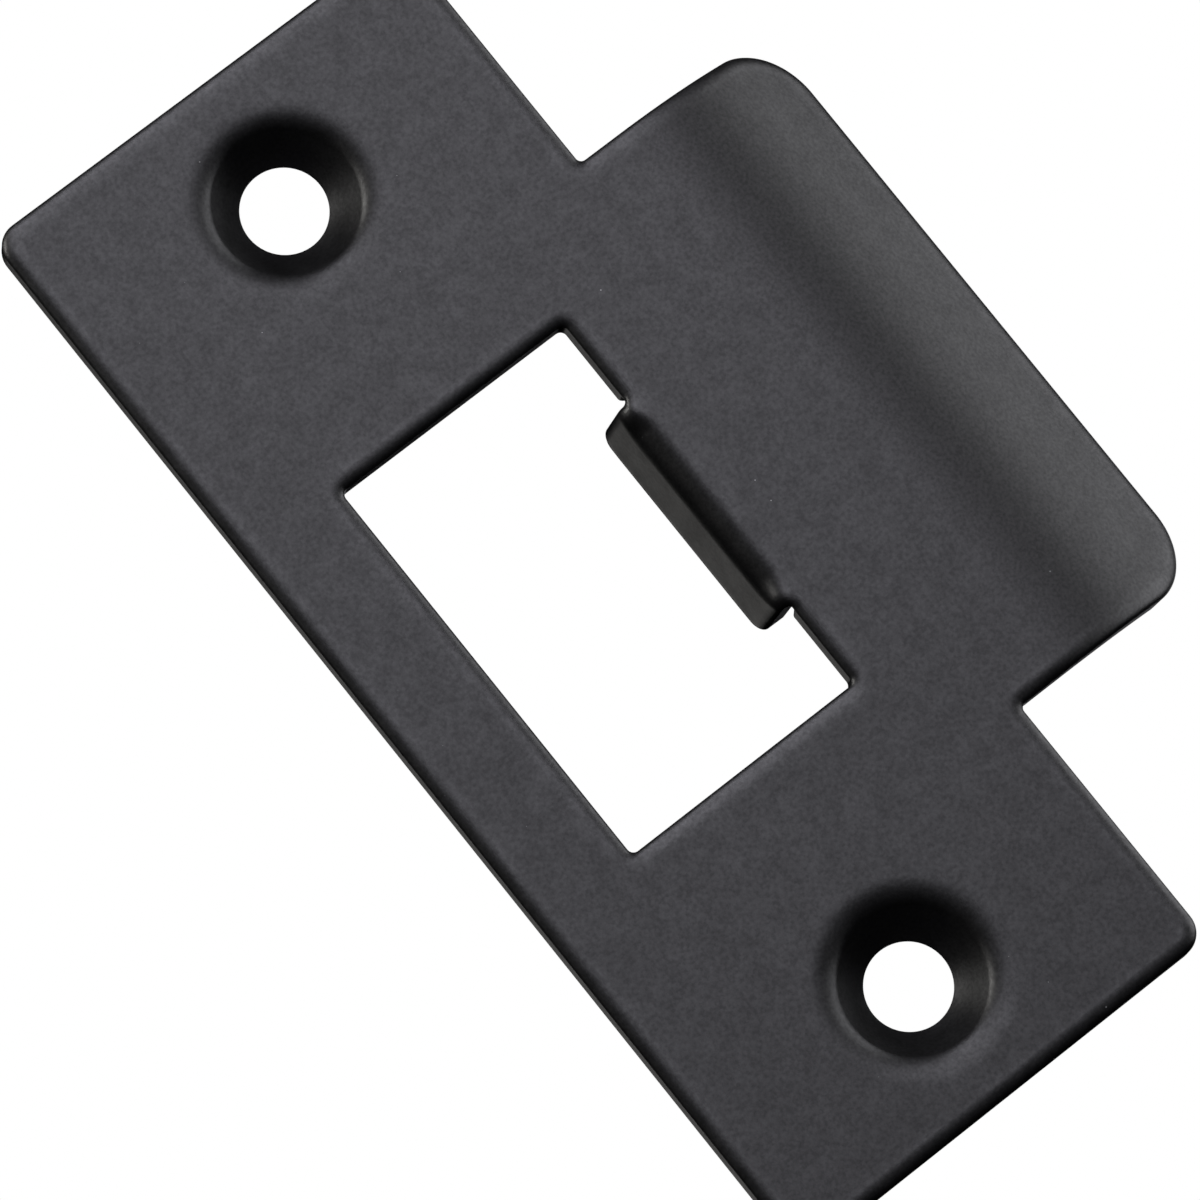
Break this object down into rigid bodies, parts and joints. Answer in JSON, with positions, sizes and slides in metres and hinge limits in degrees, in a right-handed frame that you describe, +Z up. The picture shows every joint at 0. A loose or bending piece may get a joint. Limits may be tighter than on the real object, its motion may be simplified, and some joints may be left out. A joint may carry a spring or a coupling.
{
  "type": "strike plate",
  "caption": "T-shaped door strike plate: flat faceplate with latch opening, pressed countersinks, bent-back lip and a small bent tang.",
  "frame": {"origin": "on the back of the faceplate, midway between the two screws, which is also the middle of the latch opening", "axes": "+Z up along the faceplate's long side, +Y into the door jamb, +X to the lip; the front faces -Y"},
  "size_m": [0.0416, 0.0054, 0.0698],
  "materials": {
    "black_coating": "matt, fine-grained black powder coat"
  },
  "bodies": {
    "root": {"strike_plate": "black_coating"}
  },
  "joints": []
}
